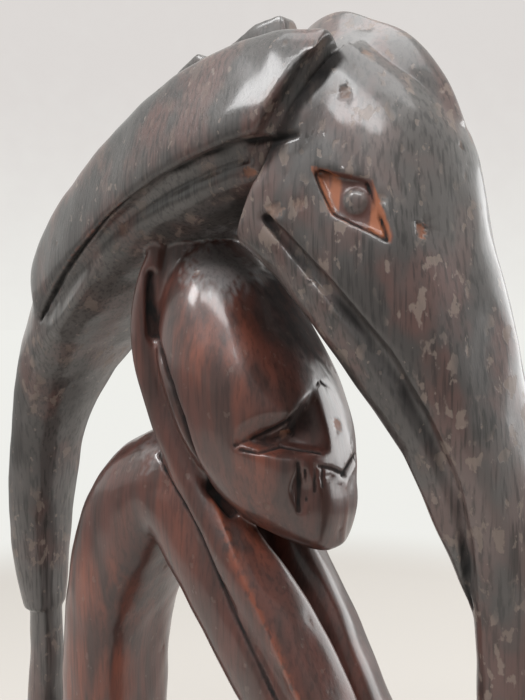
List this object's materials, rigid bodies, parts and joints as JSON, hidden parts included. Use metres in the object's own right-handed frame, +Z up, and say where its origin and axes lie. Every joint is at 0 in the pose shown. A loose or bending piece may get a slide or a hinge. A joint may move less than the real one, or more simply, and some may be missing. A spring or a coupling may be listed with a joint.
{
  "type": "african thinker sculpture",
  "caption": "Dark hardwood carving of an abstract seated thinker, head in hands, arched over by a bird whose long beak and tail reach down to a low base.",
  "frame": {"origin": "middle of the base's underside", "axes": "+Z up; the beak and the face point to -Y, the tail stands at +Y; X is the sculpture's width"},
  "size_m": [0.068, 0.182, 0.327],
  "materials": {
    "dark_wood": "dark stained hardwood, waxed to a soft gloss and worn on the edges"
  },
  "bodies": {
    "root": {"sculpture": "dark_wood"}
  },
  "joints": []
}
